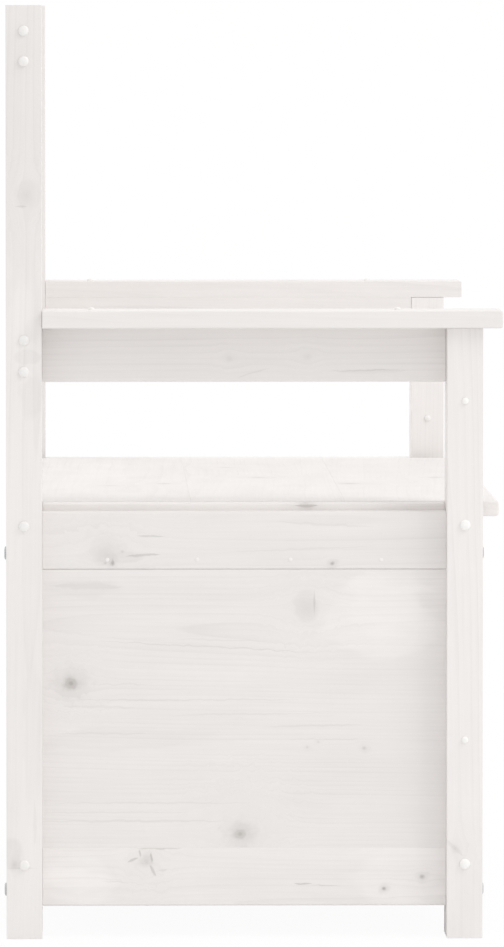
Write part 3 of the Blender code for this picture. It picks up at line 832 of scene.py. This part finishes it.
zinc = steel_material("zinc_plated_steel", ZINC_GREY, ZINC_ROUGHNESS)
screw_zinc = steel_material("zinc_plated_screws", SCREW_ZINC, SCREW_ROUGHNESS)
cap_plastic = smooth_material("white_cap_plastic", CAP_WHITE)
# Painted light: a brighter cap white, a painted highlight for the caps on the legs
leg_cap_painted_light = smooth_material("painted_light_cap_plastic", LEG_CAP_PAINTED_LIGHT)
joint_paint = smooth_material("paint_in_joints", PAINT_WHITE)


def dress_nodes():
    for seed, (name, piece) in enumerate(sorted(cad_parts.items())):
        kind = next((part for part in RUNS if part in name), None)
        if kind is None:
            finish = zinc
        elif kind in HIDDEN:
            finish = board_material(name, RUNS[kind], seed, HIDDEN_TONE, HIDDEN_RING_SHOW)
        else:
            finish = board_material(name, RUNS[kind], seed, tone=TONES.get(name, 1.0))
        for slot in piece.material_slots:
            slot.material = finish


dress_nodes()


# Paint that fills the tight joints, where the photograph shows no open line

JOINT_PAINT_EDGE = 0.06 * MM
JOINT_PAINT_DEPTH = 3 * MM
JOINT_OVERLAP = 0.05 * MM
PANEL_TOP_JOINT = 0.3 * MM
PANEL_FOOT_JOINT = 0.75 * MM
PANEL_JOINT_END = 1 * MM
STRIP_JOINT_END = 0.4 * MM

# How far the paint lies behind the boards' faces
PANEL_TOP_SINK = 0.55 * MM
PANEL_FOOT_SINK = 0.42 * MM
PANEL_SIDE_SINK = 0.5 * MM
STRIP_SINK = 0.4 * MM
APRON_SINK = 0.15 * MM
LID_SINK = 0.1 * MM


def lay_joint_paint(name, low, high, body):
    """A thin strip of paint between two corners, with all its edges rounded."""
    bpy.ops.object.select_all(action="DESELECT")
    bpy.ops.mesh.primitive_cube_add(size=1, location=(low + high) / 2)
    bpy.ops.object.mode_set(mode="EDIT")
    bpy.ops.mesh.select_all(action="SELECT")
    bpy.ops.transform.resize(value=high - low)
    bpy.ops.mesh.bevel(offset=JOINT_PAINT_EDGE, segments=2)
    bpy.ops.object.mode_set(mode="OBJECT")
    bpy.ops.object.transform_apply(location=True, rotation=True, scale=True)
    bpy.ops.object.shade_smooth_by_angle(angle=SMOOTH_ANGLE)
    piece = bpy.context.object
    piece.name = name
    piece.data.materials.append(joint_paint)
    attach(piece, body)


def fill_end_joint(side, name, face, sink, across, along):
    """Fill one joint that shows on an end of the bench or beside it.

    face is the X of the boards' face, sink how far the paint lies behind it towards the middle
    of the bench, across the joint's span in Z, and along its span in Y.
    """
    outer = face - side * sink
    inner = outer - side * JOINT_PAINT_DEPTH
    low = Vector((min(outer, inner), along[0] - JOINT_OVERLAP, across[0] - JOINT_OVERLAP))
    high = Vector((max(outer, inner), along[1] + JOINT_OVERLAP, across[1] + JOINT_OVERLAP))
    lay_joint_paint(name, low, high, "frame")


def fill_side_joints(side):
    """Fill the joints round the panel and the rails of one end, and under the armrest."""
    label = "left" if side < 0 else "right"
    rail_low, rail_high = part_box(f"{label}_side_top_rail")
    foot_low, foot_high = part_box(f"{label}_side_bottom_rail")
    apron_low, apron_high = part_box(f"{label}_arm_apron")
    arm_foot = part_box(f"{label}_armrest")[0].z
    post_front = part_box(f"{label}_post")[0].y
    leg_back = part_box(f"{label}_leg")[1].y
    length = (rail_low.y, rail_high.y)
    rail_face = rail_high.x if side > 0 else rail_low.x
    upper = (rail_low.z - PANEL_TOP_JOINT, rail_low.z)
    fill_end_joint(side, f"{label}_panel_top_joint", rail_face, PANEL_TOP_SINK, upper, length)
    lower = (foot_high.z, foot_high.z + PANEL_FOOT_JOINT)
    fill_end_joint(side, f"{label}_panel_foot_joint", rail_face, PANEL_FOOT_SINK, lower, length)
    height = (foot_low.z + PANEL_JOINT_END, rail_high.z - PANEL_JOINT_END)
    gaps = {"rear": (rail_high.y, post_front), "front": (leg_back, rail_low.y)}
    for place, gap in gaps.items():
        fill_end_joint(side, f"{label}_panel_{place}_joint", rail_face, PANEL_SIDE_SINK, height, gap)
    strip_low, strip_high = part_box(f"{label}_seat_strip")
    strip_face = strip_high.x if side > 0 else strip_low.x
    height = (strip_low.z, strip_high.z - STRIP_JOINT_END)
    for place, gap in gaps.items():
        fill_end_joint(side, f"{label}_strip_{place}_joint", strip_face, STRIP_SINK, height, gap)
    under_arm = (apron_high.z, arm_foot)
    apron_faces = sorted((apron_low.x, apron_high.x), key=abs)
    fill_end_joint(side, f"{label}_apron_outer_joint", apron_faces[1], APRON_SINK, under_arm, length)
    fill_end_joint(-side, f"{label}_apron_inner_joint", apron_faces[0], APRON_SINK, under_arm, length)


def fill_lid_joints():
    """Fill the joints between the boards of the lid, just under its top."""
    for number in (1, 2):
        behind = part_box(f"lid_board_{number}")
        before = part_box(f"lid_board_{number + 1}")
        low = Vector((behind[0].x, before[1].y - JOINT_OVERLAP, seat_top - JOINT_PAINT_DEPTH))
        high = Vector((behind[1].x, behind[0].y + JOINT_OVERLAP, seat_top - LID_SINK))
        lay_joint_paint(f"lid_joint_{number}", low, high, "lid")


for end_side in (-1, 1):
    fill_side_joints(end_side)
fill_lid_joints()


# Caps and screws. Each is modelled once at the origin, top up, and then copied into place.

BOLT_CAP_RADIUS = 5.3 * MM
BOLT_CAP_HEIGHT = 3 * MM
SMALL_CAP_RADIUS = 3.4 * MM
SMALL_CAP_HEIGHT = 2.4 * MM
PIN_RADIUS = 2.1 * MM
PIN_HEIGHT = 0.6 * MM
SEATING = 0.02 * MM

# Shares of a cap's height in its rim, shoulder and top, and how far its shoulder turns over
CAP_RIM = 0.45
CAP_SHOULDER = 0.45
CAP_TOP = 0.1
CAP_TURN = math.radians(52)

# How far a screw head's crown turns over, and its cross recess, as shares of the head's radius
SCREW_TURN = math.radians(50)
CROSS_SIZE = (1.15, 0.26, 0.9)
CROSS_TAPER = (0.45, 0.7, 1)

# Depths and heights of the caps on an end of the bench, in millimetres
POST_MIDDLE = 18.5
LEG_MIDDLE = 474
POST_CAP_HEIGHTS = (938.5, 907, 619.5, 587, 427.5, 76.5)
LEG_CAP_HEIGHTS = (428.4, 77.1)
LEG_SMALL_CAP_HEIGHTS = (556.7, 205.8)
LEG_INNER_CAP_HEIGHT = 493.6
ARM_CAP_DEPTHS = (88, 405)
RAIL_PIN_DEPTHS = (104.5, 197.5, 294, 388)
RAIL_PIN_HEIGHT = 391.5


def start_round(radius, sides):
    """A filled circle in edit mode, the foot of a round cap or screw head."""
    bpy.ops.object.select_all(action="DESELECT")
    bpy.ops.mesh.primitive_circle_add(vertices=sides, radius=radius, fill_type="NGON")
    bpy.ops.object.mode_set(mode="EDIT")
    bpy.ops.mesh.select_all(action="SELECT")


def raise_face(rise, shrink):
    """Draw the selected face up by a rise, and in to a share of its size."""
    bpy.ops.mesh.extrude_region_move(TRANSFORM_OT_translate={"value": (0, 0, rise)})
    bpy.ops.transform.resize(value=(shrink, shrink, 1))


def raise_crown(height, rings, last_turn):
    """Draw the selected face up into a round crown, ring by ring."""
    size = 1.0
    top = 0.0
    for ring in range(1, rings + 1):
        turn = last_turn * ring / rings
        raise_face((math.sin(turn) / math.sin(last_turn) - top) * height, math.cos(turn) / size)
        size = math.cos(turn)
        top = math.sin(turn) / math.sin(last_turn)


def finish_round(name):
    bpy.ops.mesh.select_all(action="SELECT")
    bpy.ops.mesh.normals_make_consistent(inside=False)
    bpy.ops.object.mode_set(mode="OBJECT")
    bpy.ops.object.shade_smooth_by_angle(angle=SMOOTH_ANGLE)
    bpy.context.object.name = name
    return bpy.context.object


def build_cap(name, radius, height, sides):
    """A pressed-on cap: a straight rim, a rounded shoulder and a nearly flat top."""
    start_round(radius, sides)
    raise_face(height * CAP_RIM, 1.0)
    raise_crown(height * CAP_SHOULDER, rings=4, last_turn=CAP_TURN)
    raise_face(height * CAP_TOP, 0.5)
    return finish_round(name)


def cut_cross(head, radius, height):
    """Sink a cross recess into a screw head with two crossed wedges."""
    for turn in (0, math.pi / 2):
        bpy.ops.object.select_all(action="DESELECT")
        bpy.ops.mesh.primitive_cube_add(size=1, location=(0, 0, height))
        blade = bpy.context.object
        bpy.ops.object.mode_set(mode="EDIT")
        bpy.ops.mesh.select_all(action="SELECT")
        bpy.ops.transform.resize(value=[radius * share for share in CROSS_SIZE])
        bpy.ops.object.mode_set(mode="OBJECT")
        for corner in blade.data.vertices:
            corner.select = corner.co.z < 0
        bpy.ops.object.mode_set(mode="EDIT")
        bpy.ops.transform.resize(value=CROSS_TAPER)
        bpy.ops.object.mode_set(mode="OBJECT")
        blade.rotation_euler.z = turn
        cut = head.modifiers.new("cross", "BOOLEAN")
        cut.operation = "DIFFERENCE"
        cut.solver = "EXACT"
        cut.object = blade
        bpy.context.view_layer.objects.active = head
        bpy.ops.object.modifier_apply(modifier=cut.name)
        bpy.data.objects.remove(blade)


def build_screw_head(name, radius, height, crown):
    """A round screw head with a cross recess: a straight side and a low crown."""
    start_round(radius, sides=28)
    raise_face(height, 1.0)
    raise_crown(crown, rings=3, last_turn=SCREW_TURN)
    head = finish_round(name)
    cut_cross(head, radius, height + crown)
    return head


def copy_into_place(model, name, spots, facing, body, slot, finish):
    """Copies of a cap or screw, each with its top facing one way, joined as one piece."""
    bpy.ops.object.select_all(action="DESELECT")
    turn = Vector(facing).to_track_quat("Z", "Y").to_euler()
    for spot in spots:
        copy = model.copy()
        copy.data = model.data.copy()
        copy.location = Vector(spot) + Vector(facing) * SEATING
        copy.rotation_euler = turn
        bpy.context.scene.collection.objects.link(copy)
        copy.select_set(True)
    bpy.context.view_layer.objects.active = copy
    bpy.ops.object.join()
    bpy.ops.object.transform_apply(location=True, rotation=True, scale=True)
    piece = bpy.context.object
    piece.name = name
    piece.data.materials.clear()
    piece.data.materials.append(finish)
    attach(piece, body)


def column(face, depth, heights):
    """Spots above each other on an end of the bench, from a depth and heights in millimetres."""
    return [(face, at_depth(depth), height * MM) for height in heights]


def place_end_caps(side, cap, small_cap, pin):
    """Caps and pins on one end of the bench. side is -1 at the left end and 1 at the right.

    The caps on the leg are painted a brighter white than those on the post, as in the photograph: a
    painted highlight for the stronger light that falls on the leg.
    """
    label = "left" if side < 0 else "right"
    out = (side, 0, 0)
    white = {"body": "frame", "slot": "painted_pine", "finish": cap_plastic}
    # Painted light: the leg caps take the brighter white, a painted highlight for the stronger light on
    # the leg
    bright = {**white, "finish": leg_cap_painted_light}
    end = side * outer_x
    post_spots = column(end, POST_MIDDLE, POST_CAP_HEIGHTS)
    leg_spots = column(end, LEG_MIDDLE, LEG_CAP_HEIGHTS)
    copy_into_place(cap, f"{label}_post_bolt_caps", post_spots, out, **white)
    copy_into_place(cap, f"{label}_leg_bolt_caps", leg_spots, out, **bright)
    small_spots = column(end, LEG_MIDDLE, LEG_SMALL_CAP_HEIGHTS)
    copy_into_place(small_cap, f"{label}_leg_caps", small_spots, out, **bright)
    inner_spot = (side * inner_x, at_depth(LEG_MIDDLE), LEG_INNER_CAP_HEIGHT * MM)
    copy_into_place(small_cap, f"{label}_leg_inner_cap", [inner_spot], (-side, 0, 0), **white)
    arm_middle = side * (inner_x + outer_x) / 2
    arm_spots = [(arm_middle, at_depth(depth), arm_top) for depth in ARM_CAP_DEPTHS]
    copy_into_place(small_cap, f"{label}_armrest_caps", arm_spots, (0, 0, 1), **white)
    rail_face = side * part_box("right_side_top_rail")[1].x
    pin_spots = [(rail_face, at_depth(depth), RAIL_PIN_HEIGHT * MM) for depth in RAIL_PIN_DEPTHS]
    copy_into_place(pin, f"{label}_rail_pins", pin_spots, out, **white)


SCREW_STEEL = {"slot": "zinc_steel", "finish": screw_zinc}

LEAF_SCREW_RADIUS = 1.7 * MM
LEAF_SCREW_HEIGHT = 1.4 * MM
LEAF_SCREW_CROWN = 0.15 * MM
LEAF_SCREW_LEVEL = 440.1 * MM
LEAF_SCREWS = 3
LEAF_CLEARANCE = 0.1 * MM


def place_hinge_screws():
    """Three screws in each hinge leaf, their heads almost flush with the leaf's face."""
    head = build_screw_head("leaf_screw", LEAF_SCREW_RADIUS, LEAF_SCREW_HEIGHT, LEAF_SCREW_CROWN)
    low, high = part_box("left_hinge_pin")
    hinge_line = (low.y + high.y) / 2
    reach = LEAF_SCREW_HEIGHT + LEAF_SCREW_CROWN + SEATING - LEAF_CLEARANCE
    for label in ("left", "right"):
        low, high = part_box(f"{label}_hinge_lid_leaf")
        pitch = (high.x - low.x) / LEAF_SCREWS
        places = [low.x + (number + 0.5) * pitch for number in range(LEAF_SCREWS)]
        for body, leaf, way in (("frame", "frame_leaf", -1), ("lid", "lid_leaf", 1)):
            spots = [(x, hinge_line - way * reach, LEAF_SCREW_LEVEL) for x in places]
            copy_into_place(head, f"{label}_{leaf}_screws", spots, (0, way, 0), body=body, **SCREW_STEEL)
    bpy.data.objects.remove(head)


CLEAT_SCREW_RADIUS = 3.8 * MM
CLEAT_SCREW_HEIGHT = 0.7 * MM
CLEAT_SCREW_CROWN = 1.2 * MM
CLEAT_SCREW_END = 12 * MM
CLEAT_SCREW_SHARES = (0.3, 0.7)


def place_cleat_screws():
    """Round-headed screws under the lid's cleats, two into each of the lid's boards."""
    head = build_screw_head("cleat_screw", CLEAT_SCREW_RADIUS, CLEAT_SCREW_HEIGHT, CLEAT_SCREW_CROWN)
    spots = []
    for cleat in ("lid_cleat_1", "lid_cleat_2", "lid_cleat_3"):
        low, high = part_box(cleat)
        for board in ("lid_board_1", "lid_board_2", "lid_board_3"):
            back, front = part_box(board)[1].y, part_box(board)[0].y
            for share in CLEAT_SCREW_SHARES:
                across = back + (front - back) * share
                spots.append(((low.x + high.x) / 2, max(across, low.y + CLEAT_SCREW_END), low.z))
    copy_into_place(head, "lid_cleat_screws", spots, (0, 0, -1), body="lid", **SCREW_STEEL)
    bpy.data.objects.remove(head)


FLOOR_SCREW_RADIUS = 3.2 * MM
FLOOR_SCREW_HEIGHT = 0.6 * MM
FLOOR_SCREW_CROWN = 1 * MM
FLOOR_SCREW_SHARES = (0.2, 0.8)
FLOOR_BOARDS = 4


def place_floor_screws():
    """Round-headed screws through the ends of the floor boards into the battens."""
    head = build_screw_head("floor_screw", FLOOR_SCREW_RADIUS, FLOOR_SCREW_HEIGHT, FLOOR_SCREW_CROWN)
    spots = []
    for number in range(1, FLOOR_BOARDS + 1):
        low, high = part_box(f"floor_board_{number}")
        front_line = (low.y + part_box("front_floor_batten")[1].y) / 2
        rear_line = (high.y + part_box("rear_floor_batten")[0].y) / 2
        for share in FLOOR_SCREW_SHARES:
            along = low.x + (high.x - low.x) * share
            spots += [(along, front_line, high.z), (along, rear_line, high.z)]
    copy_into_place(head, "floor_board_screws", spots, (0, 0, 1), body="frame", **SCREW_STEEL)
    bpy.data.objects.remove(head)


bolt_cap = build_cap("bolt_cap", BOLT_CAP_RADIUS, BOLT_CAP_HEIGHT, sides=40)
small_cap = build_cap("small_cap", SMALL_CAP_RADIUS, SMALL_CAP_HEIGHT, sides=28)
rail_pin = build_cap("rail_pin", PIN_RADIUS, PIN_HEIGHT, sides=20)
for end_side in (-1, 1):
    place_end_caps(end_side, bolt_cap, small_cap, rail_pin)
for finished_model in (bolt_cap, small_cap, rail_pin):
    bpy.data.objects.remove(finished_model)
place_hinge_screws()
place_cleat_screws()
place_floor_screws()


# Studio: pale floor, white world, one soft key light and a weak one behind

FLOOR_SIZE = 60.0
FLOOR_DROP = 0.3 * MM
FLOOR_NEAR = 1.0
FLOOR_FAR = 3.0
KEY_PLACE = (-2.1, -3.3, 4.2)
KEY_SIZE = 2.8
BACK_PLACE = (2.6, 3.4, 2.6)
BACK_SIZE = 2.4
BENCH_MIDDLE = (0.0, 0.0, 0.5)

# The camera: its place, its turns in degrees and its lens in millimetres
CAMERA_PLACE = (-10.1289, 0.18093, 0.95837)
CAMERA_YAW = 1.0734
CAMERA_PITCH = 2.8478
CAMERA_LENS = 353.17
CAMERA_SENSOR = 36
CAMERA_FAR_END = 500


def light_path(tree):
    """Share of rays that see the background: from the camera, in gloss and through glass."""
    path = tree.nodes.new("ShaderNodeLightPath").outputs
    seen = calc(tree, "MAXIMUM", path["Is Camera Ray"], path["Is Glossy Ray"])
    return calc(tree, "MAXIMUM", seen, path["Is Transmission Ray"])


def build_floor():
    bpy.ops.object.select_all(action="DESELECT")
    bpy.ops.mesh.primitive_plane_add(size=FLOOR_SIZE, location=(0, 0, -FLOOR_DROP))
    floor = bpy.context.object
    floor.name = "studio_floor"
    material, tree, shader = new_material("studio_floor_white")
    shader["Base Color"].default_value = (*FLOOR_WHITE, 1.0)
    shader["Roughness"].default_value = 0.9
    shader["Specular IOR Level"].default_value = 0.0
    glow = tree.nodes.new("ShaderNodeEmission")
    blend = tree.nodes.new("ShaderNodeMixShader")
    reach = vector_calc(tree, "LENGTH", tree.nodes.new("ShaderNodeTexCoord").outputs["Object"])
    share = remap(tree, reach, FLOOR_NEAR, FLOOR_FAR, FLOOR_GLOW, 1.0)
    feed(tree, calc(tree, "MULTIPLY", light_path(tree), share), blend.inputs[0])
    tree.links.new(tree.nodes["Principled BSDF"].outputs[0], blend.inputs[1])
    tree.links.new(glow.outputs[0], blend.inputs[2])
    tree.links.new(blend.outputs[0], tree.nodes["Material Output"].inputs["Surface"])
    floor.data.materials.append(material)


def build_world():
    world = bpy.data.worlds.new("studio")
    bpy.context.scene.world = world
    world.use_nodes = True
    tree = world.node_tree
    background = tree.nodes["Background"]
    background.inputs["Color"].default_value = (1.0, 1.0, 1.0, 1.0)
    level = remap(tree, light_path(tree), 0.0, 1.0, STUDIO_LEVEL, 1.0, "LINEAR")
    feed(tree, level, background.inputs["Strength"])


def soft_light(name, place, size, power):
    """A square soft box that points at the middle of the bench."""
    lamp = bpy.data.lights.new(name, "AREA")
    lamp.size = size
    lamp.energy = power
    stand = bpy.data.objects.new(name, lamp)
    stand.location = place
    stand.rotation_euler = (Vector(BENCH_MIDDLE) - Vector(place)).to_track_quat("-Z", "Y").to_euler()
    bpy.context.scene.collection.objects.link(stand)


def build_camera():
    """The photograph's view: from far off the bench's left end, level with the top of its back."""
    lens = bpy.data.cameras.new("camera")
    lens.sensor_width = CAMERA_SENSOR
    lens.lens = CAMERA_LENS
    lens.clip_end = CAMERA_FAR_END
    camera = bpy.data.objects.new("camera", lens)
    camera.location = CAMERA_PLACE
    yaw, pitch = math.radians(CAMERA_YAW), math.radians(CAMERA_PITCH)
    level = math.cos(pitch)
    look = Vector((math.cos(yaw) * level, -math.sin(yaw) * level, -math.sin(pitch)))
    camera.rotation_euler = look.to_track_quat("-Z", "Y").to_euler()
    bpy.context.scene.collection.objects.link(camera)
    bpy.context.scene.camera = camera


build_floor()
build_world()
soft_light("key_light", KEY_PLACE, KEY_SIZE, KEY_POWER)
soft_light("back_light", BACK_PLACE, BACK_SIZE, BACK_POWER)
build_camera()
bpy.context.scene.view_settings.view_transform = "Standard"
